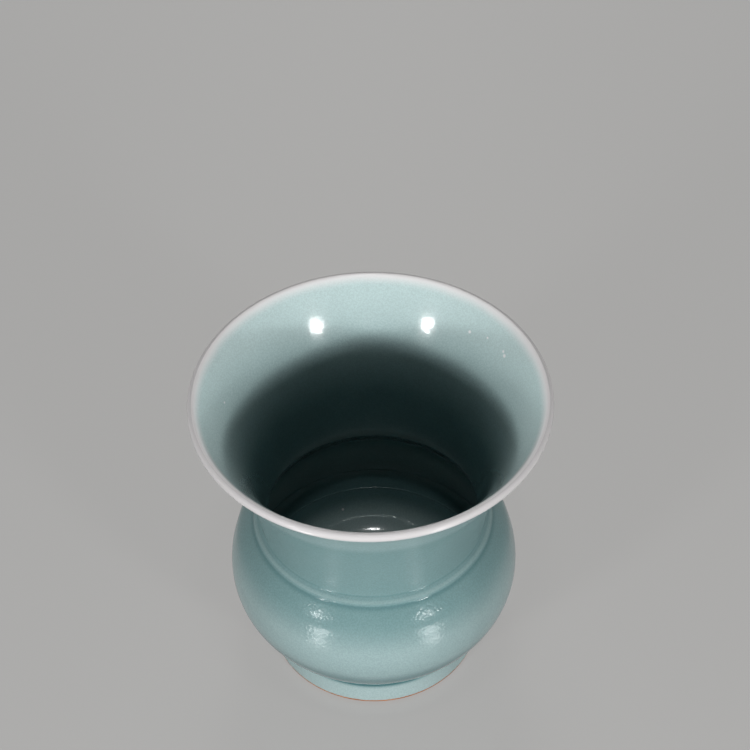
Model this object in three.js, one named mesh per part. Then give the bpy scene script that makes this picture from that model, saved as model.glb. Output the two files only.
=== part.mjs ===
// Celadon leys jar: a squat round body on a foot ring, with a wide trumpet mouth.
// Four thrown clay sections are luted together with slip, and coats of glaze cover all but the foot's rim.
// Millimetres, +Z up; the origin lies on the floor under the middle of the foot.

import * as THREE from 'three';

// Sizes of the finished jar, over the glaze, in millimetres
const HEIGHT = 119.3;
const MOUTH_DIAMETER = 120;
const NECK_DIAMETER = 78.2;
const NECK_WALL = 3;
const COLLAR_DIAMETER = 82.8;
const COLLAR_HEIGHT = 2.2;
const SHOULDER_HEIGHT = 60.6;
const THROAT_ROUND = 10;
const BELLY_DIAMETER = 100.7;
const BELLY_HEIGHT = 37.5;
const BELLY_WALL = 4.6;
const LOWER_BELLY_ROUND = 27;
const BELLY_SEAM_HEIGHT = 31;
const FLOOR_ROUND = 18;
const BASE_THICKNESS = 5.2;
const FOOT_DIAMETER = 75.6;
const FOOT_TOP_DIAMETER = 73.8;
const FOOT_HEIGHT = 9.8;
const FOOT_RECESS = 6.6;

// Sizes of the clay, the slip and the glaze, in millimetres
const FOOT_RIM_WIDTH = 5;
const FOOT_RIM_CHAMFER = 0.5;
const BARE_BAND = 1.4;
const GLAZE = 0.5;
const SLIP = 0.8;
const CLEARANCE = 0.3;

// Outward lean of the neck just above its collar
const NECK_LEAN = THREE.MathUtils.degToRad(5.5);

// Facets around the axis, and steps along each round stretch of an outline
const FACETS = 40;
const NECK_STEPS = 6;
const LIP_STEPS = 2;
const COLLAR_STEPS = 2;
const THROAT_STEPS = 4;
const SHOULDER_STEPS = 5;
const LOWER_BELLY_STEPS = 2;
const FLOOR_STEPS = 4;

// Depth of the clay under the finished surface
const CLAY_DEPTH = GLAZE + CLEARANCE;

// Points of an outline are radius and height
function at(radius, height) {
  return new THREE.Vector2(radius, height);
}

function onCircle(centre, radius, angle) {
  return at(centre.x + radius * Math.cos(angle), centre.y + radius * Math.sin(angle));
}

function arc(centre, radius, from, to, steps) {
  const points = [];
  for (let step = 0; step <= steps; step += 1) {
    points.push(onCircle(centre, radius, from + ((to - from) * step) / steps));
  }
  return points;
}

function angleBetween(from, to) {
  return Math.atan2(to.y - from.y, to.x - from.x);
}

// Where two circles cross, on the right of the line from the first centre to the second
function crossing(centreA, radiusA, centreB, radiusB) {
  const apart = centreA.distanceTo(centreB);
  const along = (apart ** 2 + radiusA ** 2 - radiusB ** 2) / (2 * apart);
  const turn = Math.acos(along / radiusA);
  return onCircle(centreA, radiusA, angleBetween(centreA, centreB) - turn);
}

// Trumpet neck: an arc that leaves the collar at its lean and ends in the middle of the lip
const neckRoot = at(NECK_DIAMETER / 2, SHOULDER_HEIGHT + COLLAR_HEIGHT);
const lipCentre = at((MOUTH_DIAMETER - NECK_WALL) / 2, HEIGHT - NECK_WALL / 2);
const outward = at(Math.cos(NECK_LEAN), -Math.sin(NECK_LEAN));
const rise = lipCentre.clone().sub(neckRoot);
const neckRound = (rise.lengthSq() - NECK_WALL ** 2 / 4) / (2 * rise.dot(outward) + NECK_WALL);
const neckCentre = neckRoot.clone().addScaledVector(outward, neckRound);
const neckRootAngle = Math.PI - NECK_LEAN;
const lipAngle = angleBetween(neckCentre, lipCentre);

// Shoulder: an arc from the widest ring of the belly up to the collar
const shoulderRise = SHOULDER_HEIGHT - BELLY_HEIGHT;
const shoulderInset = (BELLY_DIAMETER - COLLAR_DIAMETER) / 2;
const shoulderRound = (shoulderRise ** 2 + shoulderInset ** 2) / (2 * shoulderInset);
const shoulderCentre = at(BELLY_DIAMETER / 2 - shoulderRound, BELLY_HEIGHT);

// Lower belly: an arc from the widest ring down, then a cone that runs to the top of the foot
const lowerCentre = at(BELLY_DIAMETER / 2 - LOWER_BELLY_ROUND, BELLY_HEIGHT);
const footTop = at(FOOT_TOP_DIAMETER / 2, FOOT_HEIGHT);
const coneSwing = Math.acos(LOWER_BELLY_ROUND / lowerCentre.distanceTo(footTop));
const coneAngle = angleBetween(lowerCentre, footTop) + coneSwing;
const seamAngle = Math.asin((BELLY_SEAM_HEIGHT - BELLY_HEIGHT) / LOWER_BELLY_ROUND);

// Throat: a round edge that joins the inside of the neck to the hollow of the belly
const neckInsideRound = neckRound + NECK_WALL;
const hollowRound = shoulderRound - BELLY_WALL;
const throatCentre = crossing(
  neckCentre,
  neckInsideRound - THROAT_ROUND,
  shoulderCentre,
  hollowRound + THROAT_ROUND,
);
const throatTopAngle = angleBetween(neckCentre, throatCentre);
const throatLowAngle = angleBetween(throatCentre, shoulderCentre) + 2 * Math.PI;

// Inner floor: flat in the middle, rounded up into the lower belly
const floorHeight = FOOT_RECESS + BASE_THICKNESS;
const lowerHollowRound = LOWER_BELLY_ROUND - BELLY_WALL;
const floorRoundHeight = floorHeight + FLOOR_ROUND;
const floorRoundReach =
  (lowerHollowRound - FLOOR_ROUND - (floorRoundHeight - lowerCentre.y) * Math.sin(coneAngle)) / Math.cos(coneAngle);
const floorCentre = at(lowerCentre.x + floorRoundReach, floorRoundHeight);

// Foot: a ring of even width that leans in from the floor to the lower belly
function footWall(height, depth) {
  const lean = (FOOT_DIAMETER - FOOT_TOP_DIAMETER) / 2 / FOOT_HEIGHT;
  return at(FOOT_DIAMETER / 2 - lean * height - depth, height);
}

function footBore(height) {
  return footWall(height, CLAY_DEPTH + FOOT_RIM_WIDTH);
}

function footCorner(depth) {
  const radius = footTop.x - depth;
  const overhang = LOWER_BELLY_ROUND - depth - (radius - lowerCentre.x) * Math.cos(coneAngle);
  return at(radius, lowerCentre.y + overhang / Math.sin(coneAngle));
}

const baseUnderside = FOOT_RECESS + CLAY_DEPTH;
const footSlipTop = baseUnderside - CLEARANCE;
const footSlipFoot = footSlipTop - SLIP;
const footRingTop = footSlipFoot - CLEARANCE;

// Stretches of the outer surface at a depth under the finished jar, from the foot up to the lip
function outerLowerBelly(depth, from, to) {
  return arc(lowerCentre, LOWER_BELLY_ROUND - depth, from, to, LOWER_BELLY_STEPS);
}

function shoulderAngle(depth, height) {
  return Math.asin((height - shoulderCentre.y) / (shoulderRound - depth));
}

function outerShoulder(depth, top) {
  return arc(shoulderCentre, shoulderRound - depth, 0, top, SHOULDER_STEPS);
}

function creaseAngle(depth) {
  return Math.acos((COLLAR_DIAMETER / 2 - depth - shoulderCentre.x) / (shoulderRound - depth));
}

function outerCollar(depth) {
  const points = [];
  const reach = COLLAR_DIAMETER / 2 - neckRoot.x;
  for (let step = 0; step <= COLLAR_STEPS; step += 1) {
    const turn = (Math.PI / 2) * (step / COLLAR_STEPS);
    const radius = neckRoot.x - depth + reach * Math.cos(turn);
    points.push(at(radius, SHOULDER_HEIGHT + (COLLAR_HEIGHT - depth) * Math.sin(turn)));
  }
  return points;
}

function outerNeck(depth) {
  return arc(neckCentre, neckRound + depth, neckRootAngle, lipAngle, NECK_STEPS);
}

// Stretches of the inner surface at a depth under the finished jar, from the lip down to the floor
function innerNeck(depth) {
  return arc(neckCentre, neckInsideRound - depth, lipAngle, throatTopAngle, NECK_STEPS);
}

function throatAngle(depth, height) {
  return Math.PI + Math.asin((throatCentre.y - height) / (THROAT_ROUND - depth));
}

function innerThroat(depth, from, to) {
  return arc(throatCentre, THROAT_ROUND - depth, from, to, THROAT_STEPS);
}

function innerShoulder(depth) {
  return arc(shoulderCentre, hollowRound + depth, throatLowAngle - Math.PI, 0, SHOULDER_STEPS);
}

function innerLowerBelly(depth, from, to) {
  return arc(lowerCentre, lowerHollowRound + depth, from, to, LOWER_BELLY_STEPS);
}

function innerFloor(depth) {
  const points = arc(floorCentre, FLOOR_ROUND + depth, coneAngle, -Math.PI / 2, FLOOR_STEPS);
  return [...points, at(0, floorHeight - depth)];
}

// Half of the lip's round edge: the outer half runs up to its crest, the inner half runs down from it
function lip(depth, from, to) {
  return arc(lipCentre, NECK_WALL / 2 - depth, from, to, LIP_STEPS);
}

const lipOuterAngle = lipAngle - Math.PI;
const lipCrestAngle = lipAngle - Math.PI / 2;
const lipGapAngle = CLEARANCE / NECK_WALL;

// Seams: flat under the neck, and square to the wall across the belly
const neckSlipTop = SHOULDER_HEIGHT - CLEARANCE;
const neckSlipFoot = neckSlipTop - SLIP;
const shoulderTop = neckSlipFoot - CLEARANCE;
const beltRound = lowerHollowRound + CLAY_DEPTH;
const slipTurn = SLIP / 2 / beltRound;
const seatTurn = slipTurn + CLEARANCE / beltRound;

// Drops points that repeat the one before them
function withoutRepeats(points) {
  return points.filter((point, index) => index === 0 || point.distanceTo(points[index - 1]) > 1e-6);
}

// Turns a closed outline, given anticlockwise, about the upright axis
function turned(name, outline, material) {
  const points = withoutRepeats(outline);
  if (points[0].x > 0) {
    points.push(points[0].clone());
  }
  const geometry = new THREE.LatheGeometry(points, FACETS);
  geometry.rotateX(Math.PI / 2);
  const mesh = new THREE.Mesh(geometry, material);
  mesh.name = name;
  return mesh;
}

// Materials
function clay() {
  return new THREE.MeshStandardMaterial({ color: 0xb9ada0, roughness: 0.9, metalness: 0 });
}

function burntClay() {
  return new THREE.MeshStandardMaterial({ color: 0xb0703f, roughness: 0.9, metalness: 0 });
}

function slipClay() {
  return new THREE.MeshStandardMaterial({ color: 0xcfc6ba, roughness: 0.95, metalness: 0 });
}

function celadon() {
  return new THREE.MeshStandardMaterial({ color: 0xa3c1bf, roughness: 0.25, metalness: 0 });
}

// Foot ring: thrown by itself, with a bare, chamfered rim that stands on the floor
function footRing() {
  const outline = [
    at(footBore(0).x + FOOT_RIM_CHAMFER, 0),
    at(footWall(0, CLAY_DEPTH).x - FOOT_RIM_CHAMFER, 0),
    footWall(FOOT_RIM_CHAMFER, CLAY_DEPTH),
    footWall(footRingTop, CLAY_DEPTH),
    footBore(footRingTop),
    footBore(FOOT_RIM_CHAMFER),
  ];
  return turned('foot_ring', outline, burntClay());
}

function footSlip() {
  const outline = [
    footBore(footSlipFoot),
    footWall(footSlipFoot, CLAY_DEPTH),
    footWall(footSlipTop, CLAY_DEPTH),
    footBore(footSlipTop),
  ];
  return turned('foot_slip', outline, slipClay());
}

// Lower body: the bowl with the base, up to the seam below the widest ring
function lowerBody() {
  const seat = seamAngle - seatTurn;
  const outline = [
    at(0, baseUnderside),
    footWall(baseUnderside, CLAY_DEPTH),
    footCorner(CLAY_DEPTH),
    ...outerLowerBelly(CLAY_DEPTH, coneAngle, seat),
    ...innerLowerBelly(CLAY_DEPTH, seat, coneAngle),
    ...innerFloor(CLAY_DEPTH),
  ];
  return turned('lower_body', outline, clay());
}

function bellySlip() {
  const outline = [
    onCircle(lowerCentre, beltRound, seamAngle - slipTurn),
    onCircle(lowerCentre, LOWER_BELLY_ROUND - CLAY_DEPTH, seamAngle - slipTurn),
    onCircle(lowerCentre, LOWER_BELLY_ROUND - CLAY_DEPTH, seamAngle + slipTurn),
    onCircle(lowerCentre, beltRound, seamAngle + slipTurn),
  ];
  return turned('belly_slip', outline, slipClay());
}

// Upper body: the widest ring and the shoulder, with a flat seat for the neck
function upperBody() {
  const seat = seamAngle + seatTurn;
  const outline = [
    ...outerLowerBelly(CLAY_DEPTH, seat, 0),
    ...outerShoulder(CLAY_DEPTH, shoulderAngle(CLAY_DEPTH, shoulderTop)),
    ...innerThroat(CLAY_DEPTH, throatAngle(CLAY_DEPTH, shoulderTop), throatLowAngle),
    ...innerShoulder(CLAY_DEPTH),
    ...innerLowerBelly(CLAY_DEPTH, 0, seat),
  ];
  return turned('upper_body', outline, clay());
}

function neckSlip() {
  const outline = [
    onCircle(throatCentre, THROAT_ROUND - CLAY_DEPTH, throatAngle(CLAY_DEPTH, neckSlipFoot)),
    onCircle(shoulderCentre, shoulderRound - CLAY_DEPTH, shoulderAngle(CLAY_DEPTH, neckSlipFoot)),
    at(COLLAR_DIAMETER / 2 - CLAY_DEPTH, neckSlipTop),
    onCircle(throatCentre, THROAT_ROUND - CLAY_DEPTH, throatAngle(CLAY_DEPTH, neckSlipTop)),
  ];
  return turned('neck_slip', outline, slipClay());
}

// Trumpet neck: a collar at its foot, a flaring wall and a round lip
function trumpetNeck() {
  const outline = [
    ...outerCollar(CLAY_DEPTH),
    ...outerNeck(CLAY_DEPTH),
    ...lip(CLAY_DEPTH, lipOuterAngle, lipAngle),
    ...innerNeck(CLAY_DEPTH),
    ...innerThroat(CLAY_DEPTH, throatTopAngle, throatAngle(CLAY_DEPTH, SHOULDER_HEIGHT)),
  ];
  return turned('trumpet_neck', outline, clay());
}

// Outer glaze: one skin from the bare band of the foot to the crest of the lip
function outerSkin(depth) {
  return [
    footWall(BARE_BAND, depth),
    footCorner(depth),
    ...outerLowerBelly(depth, coneAngle, seamAngle),
    ...outerLowerBelly(depth, seamAngle, 0),
    ...outerShoulder(depth, creaseAngle(depth)),
    ...outerCollar(depth),
    ...outerNeck(depth),
    ...lip(depth, lipOuterAngle, lipCrestAngle - lipGapAngle),
  ];
}

function outerGlaze() {
  return turned('outer_glaze', [...outerSkin(0), ...outerSkin(GLAZE).reverse()], celadon());
}

// Inner glaze: one skin from the crest of the lip to the middle of the floor
function innerSkin(depth) {
  return [
    ...lip(depth, lipCrestAngle + lipGapAngle, lipAngle),
    ...innerNeck(depth),
    ...innerThroat(depth, throatTopAngle, throatLowAngle),
    ...innerShoulder(depth),
    ...innerLowerBelly(depth, 0, seamAngle),
    ...innerLowerBelly(depth, seamAngle, coneAngle),
    ...innerFloor(depth),
  ];
}

function innerGlaze() {
  return turned('inner_glaze', [...innerSkin(GLAZE).reverse(), ...innerSkin(0)], celadon());
}

// Base glaze: the skin under the base and down the bore of the foot ring
function baseGlaze() {
  const back = CLAY_DEPTH + FOOT_RIM_WIDTH + CLEARANCE;
  const face = back + GLAZE;
  const outline = [
    at(0, FOOT_RECESS),
    footWall(FOOT_RECESS, face),
    footWall(BARE_BAND, face),
    footWall(BARE_BAND, back),
    footWall(FOOT_RECESS + GLAZE, back),
    at(0, FOOT_RECESS + GLAZE),
  ];
  return turned('base_glaze', outline, celadon());
}

const jar = new THREE.Group();
jar.add(footRing(), footSlip(), lowerBody(), bellySlip(), upperBody(), neckSlip(), trumpetNeck());
jar.add(outerGlaze(), innerGlaze(), baseGlaze());

export default jar;
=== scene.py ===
"""Celadon leys jar as an add-on: fine turned surfaces, glaze and clay finishes, and a plain studio."""

import math

import bpy
import numpy as np
from bpy.props import FloatProperty, FloatVectorProperty, PointerProperty
from mathutils import Matrix, Vector


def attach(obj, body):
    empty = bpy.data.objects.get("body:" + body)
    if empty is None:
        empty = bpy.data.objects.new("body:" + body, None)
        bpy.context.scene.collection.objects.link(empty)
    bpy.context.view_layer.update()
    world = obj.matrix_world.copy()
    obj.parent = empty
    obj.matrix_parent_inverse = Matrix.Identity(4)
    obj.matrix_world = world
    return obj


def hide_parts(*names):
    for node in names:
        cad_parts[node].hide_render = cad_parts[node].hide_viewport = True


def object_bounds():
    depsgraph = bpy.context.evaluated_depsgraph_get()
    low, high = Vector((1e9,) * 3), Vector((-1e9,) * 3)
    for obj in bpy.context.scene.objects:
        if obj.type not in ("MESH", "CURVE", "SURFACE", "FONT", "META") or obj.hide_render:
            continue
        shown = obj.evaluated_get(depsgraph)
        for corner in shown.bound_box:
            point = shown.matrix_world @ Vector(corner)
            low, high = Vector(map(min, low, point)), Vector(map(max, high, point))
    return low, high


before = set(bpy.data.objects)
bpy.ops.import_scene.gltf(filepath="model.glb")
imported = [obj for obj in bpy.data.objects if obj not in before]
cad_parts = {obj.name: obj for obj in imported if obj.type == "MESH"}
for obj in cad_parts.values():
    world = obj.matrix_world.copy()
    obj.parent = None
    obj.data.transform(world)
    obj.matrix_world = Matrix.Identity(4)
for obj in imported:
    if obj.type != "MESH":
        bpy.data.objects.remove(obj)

bl_info = {
    "name": "Celadon Leys Jar",
    "version": (1, 0, 0),
    "blender": (4, 5, 0),
    "location": "View3D > Sidebar > Leys Jar",
    "description": "Turns a celadon leys jar from its sizes, glazes it and sets a plain studio around it",
    "category": "Add Mesh",
}

CAD_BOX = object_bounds()
BODY = "root"
MM = 0.001

# Fineness of the turned surfaces
AROUND = 192
FINE_STEP = 0.05 * MM
LONGEST_STEP = 1.2 * MM
TURN_STEP = math.radians(4.5)
HIDDEN_STEP = 2.5 * MM
HIDDEN_TURN = math.radians(12)
SHARP_EDGE = math.radians(40)

# Points closer than this are one point, and a bell-shaped weight ends at so many times its reach
TOUCHING = 1e-9
BELL_CUT = 3.5

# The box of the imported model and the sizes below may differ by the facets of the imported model
FACET_SLACK = 0.3 * MM

# The shoulder swells from this share of its rise upwards
SWELL_START = 0.4

# The glazed band at the foot of the neck: how far its upright edge stands in at its foot and at its top,
# how high glaze fills the crease under it, and the share of the collar's height that the edge takes
BAND_FOOT_INSET = 0.05 * MM
BAND_TOP_INSET = 0.12 * MM
CREASE_FILL = 0.1 * MM
BAND_SHARE = 0.36

# Ridges on the inner wall, in millimetres above the belly's seam
RIDGES_ABOVE_SEAM = (0.5, -6.2)

# Glaze by height: in each row a level of the jar, millimetres above it, and the share of glaze there.
# Outside, glaze thins on the foot, on the belly's widest part and under the lip. These shares are partly
# painted light: the paler foot is also painted light, the paler belly is partly a painted reflection of the
# floor, and the pale band under the lip is partly a painted reflection
THIN_GLAZE_AND_PAINTED_LIGHT_OUTSIDE = (
    # Foot rows: thin glaze, and painted light on the foot
    ("ground", 0.0, 0.70),
    ("foot", -1.5, 0.62),
    ("foot", 2.0, 0.15),
    # Belly rows: thin glaze, and a painted reflection of the floor around the widest ring
    ("belly", -10.0, 0.28),
    ("belly", 0.0, 0.42),
    ("belly", 7.0, 0.44),
    ("crease", -6.0, 0.02),
    ("crease", 0.0, 0.0),
    ("crease", 0.5, 0.05),
    ("collar", -0.8, 0.08),
    ("collar", 2.0, 0.05),
    # Lip rows: thin glaze at the rim, and a painted reflection band that starts 22 mm under it
    ("lip", -22.0, 0.06),
    ("lip", -18.5, 0.38),
    ("lip", 0.0, 0.50),
)
# Inside, only the bowl's floor is pale: a painted patch of light where the lamp over the mouth shines
# through the throat
PAINTED_LIGHT_INSIDE = (("inner_floor", 2.0, 0.90), ("inner_floor", 5.5, 0.66), ("inner_floor", 10.0, 0.0))
# Outside, thicker glaze and painted shade: dark just above the foot and up the lower belly as glaze that
# ran down and as painted shade under the belly's overhang, dark in the crease as pooled glaze and painted
# shade, and a dark line 20 mm under the lip as painted shade at the edge of the painted reflection band
DEEP_GLAZE_AND_PAINTED_SHADE_OUTSIDE = (
    # Foot rows: glaze run down to the foot, and painted shade
    ("foot", -1.2, 0.0),
    ("foot", -0.3, 0.50),
    ("foot", 0.8, 1.00),
    ("foot", 3.0, 1.00),
    ("foot", 6.5, 0.66),
    # Belly rows: painted shade on the lower belly
    ("belly", -8.0, 0.75),
    ("belly", -4.5, 0.26),
    ("belly", -2.0, 0.0),
    # Crease rows: pooled glaze and painted shade in the crease
    ("crease", -1.2, 0.0),
    ("crease", 0.0, 1.20),
    ("crease", 0.7, 0.0),
    # Lip rows: a painted shade line under the painted reflection band
    ("lip", -21.5, 0.0),
    ("lip", -20.0, 0.14),
    ("lip", -18.5, 0.0),
)
# Glaze has run off the collar's ledge, which also paints the fillet above the collar paler, as painted
# light against its shade: height of the middle above the collar, spread and share
DRY_RISE = 0.3 * MM
DRY_SPREAD = 0.8 * MM
DRY_SHARE = 1.1


# Properties


def length(name, millimetres, description):
    """A size of the jar or the studio that a user can change."""
    return FloatProperty(
        name=name,
        description=description,
        default=millimetres * MM,
        min=0.0,
        precision=5,
        unit="LENGTH",
        subtype="DISTANCE",
    )


def turn(name, degrees, description):
    """An angle that a user can change."""
    return FloatProperty(
        name=name,
        description=description,
        default=math.radians(degrees),
        unit="ROTATION",
        subtype="ANGLE",
    )


def amount(name, value, description):
    """A plain number that a user can change."""
    return FloatProperty(name=name, description=description, default=value, min=0.0)


def colour(name, red, green, blue, description):
    """A linear colour that a user can change."""
    return FloatVectorProperty(
        name=name,
        description=description,
        default=(red, green, blue),
        min=0.0,
        max=1.0,
        subtype="COLOR",
    )


class JarSizes(bpy.types.PropertyGroup):
    """Sizes of the finished jar, over the glaze."""

    height: length("Height", 119.3, "From the floor to the top of the lip")
    mouth_diameter: length("Mouth", 120, "Across the outside of the lip")
    neck_diameter: length("Neck", 78.2, "Across the neck just above its collar")
    neck_wall: length("Neck wall", 3, "Thickness of the neck and of the round lip")
    neck_lean: turn("Neck lean", 5.5, "Outward lean of the neck just above its collar")
    collar_diameter: length("Collar", 82.8, "Across the collar where it meets the shoulder")
    collar_height: length("Collar height", 2.2, "Height of the band at the foot of the neck")
    collar_sweep: length("Collar sweep", 0.3, "How far above the band its ledge meets the neck")
    shoulder_height: length("Shoulder height", 60.6, "Where the shoulder meets the collar")
    shoulder_swell: length("Shoulder swell", 0.5, "How far the upper shoulder swells beyond its arc")
    throat_round: length("Throat round", 10, "Radius of the edge between neck and hollow")
    belly_diameter: length("Belly", 100.7, "Across the widest ring")
    belly_height: length("Belly height", 37.5, "Height of the widest ring")
    belly_wall: length("Belly wall", 4.6, "Thickness of the belly")
    lower_belly_round: length("Lower belly round", 27, "Radius of the outline under the widest ring")
    belly_seam_height: length("Belly seam", 31, "Height of the luted seam across the belly")
    floor_round: length("Floor round", 18, "Radius between the inner floor and the belly")
    base_thickness: length("Base", 5.2, "Thickness of the base")
    foot_diameter: length("Foot", 75.6, "Across the foot at the floor")
    foot_top_diameter: length("Foot top", 73.8, "Across the foot under the belly")
    foot_height: length("Foot height", 9.8, "Height of the foot under the belly")
    foot_recess: length("Foot recess", 6.6, "Depth of the hollow under the base")
    foot_rim_width: length("Foot rim", 5, "Width of the bare rim")
    foot_rim_round: length("Foot rim round", 0.7, "Radius of the rim's worn edges")
    bare_band: length("Bare band", 1.4, "Height of the clay that the glaze leaves bare")
    glaze: length("Glaze", 0.5, "Thickness of the glaze")
    slip: length("Slip", 0.8, "Thickness of the slip in a seam")
    clearance: length("Clearance", 0.3, "Gap between clay, slip and glaze")
    glaze_flow: length("Glaze flow", 0.45, "Reach over which melted glaze rounds a corner")
    pooling_reach: length("Pooling reach", 1.3, "Reach over which glaze runs off edges into creases")
    pooling_depth: length("Pooling depth", 0.3, "Depth under the average where glaze is fully pooled")
    ridge_height: length("Throwing ridge", 0.15, "Height of a ridge on the inner wall")
    ridge_width: length("Ridge width", 0.13, "Spread of a ridge to each side")


class JarFinish(bpy.types.PropertyGroup):
    """Colours of the glaze and the clay."""

    celadon: colour("Celadon", 0.163, 0.275, 0.280, "Glaze of plain thickness")
    # Also the colour of the painted light on the foot and of the painted reflection on the belly and under
    # the lip
    thin_celadon_and_painted_light: colour("Thin celadon", 0.438, 0.540, 0.540, "Glaze where it thins outside")
    # Also the colour of the painted patch of light on the inner floor
    flare_celadon_and_painted_light: colour("Flare celadon", 0.490, 0.620, 0.617, "Glaze where it thins up the flare")
    lip_white: colour("Lip", 0.785, 0.767, 0.767, "Glaze so thin that the clay shows through")
    # Darker than the lip inside: thin glaze, with painted shade on the lip's outside
    lip_outside_and_painted_shade: colour("Lip outside", 0.590, 0.574, 0.577, "The same at the outside of the lip")
    # Darker than thick glaze, as painted shade in the neck and hollow
    inner_celadon_and_painted_shade: colour("Inner celadon", 0.085, 0.158, 0.163, "Thick glaze inside")
    # Also the colour of the painted shade above the foot, on the lower belly, in the crease and under the
    # lip
    pooled_and_shaded_celadon: colour("Pooled celadon", 0.070, 0.165, 0.175, "Glaze that has run into a crease")
    clay: colour("Stoneware", 0.480, 0.420, 0.360, "Fired clay under the glaze")
    clay_speck: colour("Clay specks", 0.230, 0.180, 0.140, "Iron specks and sand in the clay")
    burnt_clay: colour("Burnt clay", 0.430, 0.165, 0.060, "Bare clay at the foot")
    burnt_speck: colour("Burnt specks", 0.150, 0.055, 0.025, "Dark specks in the bare clay")
    slip: colour("Slip", 0.610, 0.560, 0.490, "Fired slip in the seams")
    slip_speck: colour("Slip specks", 0.420, 0.370, 0.310, "Grain of the fired slip")


class JarStage(bpy.types.PropertyGroup):
    """The plain studio around the jar."""

    floor: colour("Floor", 0.100, 0.099, 0.0975, "Floor as it passes light on to the jar")
    floor_glow: colour("Floor glow", 0.335, 0.332, 0.327, "Floor as seen, also in reflections")
    floor_width: length("Floor width", 6000, "Side of the floor")
    lamp_distance: length("Lamp distance", 700, "From the jar's axis to each front lamp")
    lamp_height: length("Lamp height", 248, "Height of each front lamp's middle")
    left_swing: turn("Left lamp swing", 40.8, "The left lamp's turn from the front")
    right_swing: turn("Right lamp swing", 36.4, "The right lamp's turn from the front")
    lamp_width: length("Lamp width", 80, "Across each front lamp")
    lamp_tall: length("Lamp tall", 24, "From the bottom to the top of each front lamp")
    lamp_power: amount("Lamp power", 0.95, "Power of each front lamp in watts")
    shade_height: length("Shade height", 258, "Height of each soft shade's middle")
    shade_width: length("Shade width", 150, "Across the soft shade around each front lamp")
    shade_tall: length("Shade tall", 58, "From the bottom to the top of each soft shade")
    shade_power: amount("Shade power", 2.25, "Power of each soft shade in watts")
    fill_power: amount("Fill power", 0.8, "Power of the soft light between the front lamps in watts")
    back_distance: length("Back light distance", 1000, "From the jar to the soft light above and behind it")
    back_lean: turn("Back light lean", 28, "How far the back light stands behind the jar's axis")
    back_width: length("Back light width", 350, "Across the back light")
    back_power: amount("Back light power", 1.9, "Power of the back light in watts")
    spark_distance: length("Spark distance", 1200, "From the jar to the small lamp over its inner floor")
    spark_lean: turn("Spark lean", 11.2, "How far the small lamp stands before the jar's axis")
    spark_width: length("Spark width", 160, "Across the small lamp")
    spark_tall: length("Spark tall", 50, "From front to back of the small lamp")
    spark_power: amount("Spark power", 1.55, "Power of the small lamp in watts")
    strip_swing: turn("Strip swing", 34.5, "Turn of the strips on the floor to each side")
    strip_light: amount("Strip light", 17.0, "Brightness of the strips, which show in the glaze alone")
    rear_distance: length("Rear light distance", 900, "From the jar to the soft light low behind it")
    rear_lean: turn("Rear light lean", 65, "How far the rear light leans back from upright")
    rear_width: length("Rear light width", 300, "Across the rear light")
    rear_power: amount("Rear light power", 1.5, "Power of the rear light in watts")
    backdrop: amount("Backdrop", 0.42, "Brightness of the wall as seen, also in reflections")
    wall_light: amount("Wall light", 0.006, "Light from the studio near the horizon")
    ceiling_light: amount("Ceiling light", 0.002, "Light from the studio overhead")
    camera_height: length("Camera height", 593.12, "Height of the camera above the floor")
    camera_back: length("Camera back", 448.79, "From the jar's axis to the camera")
    camera_pitch: turn("Camera pitch", 45.976, "How far down the camera looks")
    camera_yaw: turn("Camera yaw", 0.149, "Turn of the camera to the right")
    camera_roll: turn("Camera roll", -1.268, "Tilt of the camera about its view")
    camera_lens: length("Lens", 96, "Focal length on a sensor 36 mm wide")


# Outlines: points are radius and height, one row each


def on_circle(centre, radius, angle):
    """The point of a circle at an angle."""
    return np.array((centre[0] + radius * math.cos(angle), centre[1] + radius * math.sin(angle)))


def arc(centre, radius, start, end):
    """Points of a circle from one angle to another, a fine step apart."""
    count = max(2, math.ceil(abs(end - start) * radius / FINE_STEP))
    angle = np.linspace(start, end, count + 1)
    return np.column_stack((centre[0] + radius * np.cos(angle), centre[1] + radius * np.sin(angle)))


def angle_between(start, end):
    """The angle of the line from one point to another."""
    return math.atan2(end[1] - start[1], end[0] - start[0])


def crossing(centre_a, radius_a, centre_b, radius_b):
    """Where two circles cross, on the right of the line from the first centre to the second."""
    apart = np.linalg.norm(np.subtract(centre_b, centre_a))
    along = (apart**2 + radius_a**2 - radius_b**2) / (2 * apart)
    return on_circle(centre_a, radius_a, angle_between(centre_a, centre_b) - math.acos(along / radius_a))


def joined(*stretches):
    """Stretches of an outline, end to end, without the points that repeat."""
    points = np.vstack(stretches)
    moved = np.linalg.norm(np.diff(points, axis=0), axis=1) > TOUCHING
    return points[np.concatenate(([True], moved))]


def run_along(points):
    """The distance along an outline to each of its points."""
    return np.concatenate(([0.0], np.cumsum(np.linalg.norm(np.diff(points, axis=0), axis=1))))


def even(points):
    """The outline with its points an even fine step apart."""
    run = run_along(points)
    places = np.linspace(0.0, run[-1], math.ceil(run[-1] / FINE_STEP) + 1)
    return np.column_stack([np.interp(places, run, column) for column in points.T])


def bell(distance, spread):
    """A bell-shaped share: 1 in the middle, falling off over the spread to each side."""
    return np.exp(-0.5 * (distance / spread) ** 2)


def softened(points, reach):
    """A bell-shaped average along an even outline, which rounds each corner over the reach.

    Past its ends the outline goes on as its own half turn, so both end points stay.
    """
    half = math.ceil(BELL_CUT * reach / FINE_STEP)
    weight = bell(np.arange(-half, half + 1) * FINE_STEP, reach)
    weight /= weight.sum()
    before = 2 * points[0] - points[half:0:-1]
    after = 2 * points[-1] - points[-2 : -half - 2 : -1]
    long_run = np.vstack((before, points, after))
    return np.column_stack([np.convolve(column, weight, "valid") for column in long_run.T])


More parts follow.
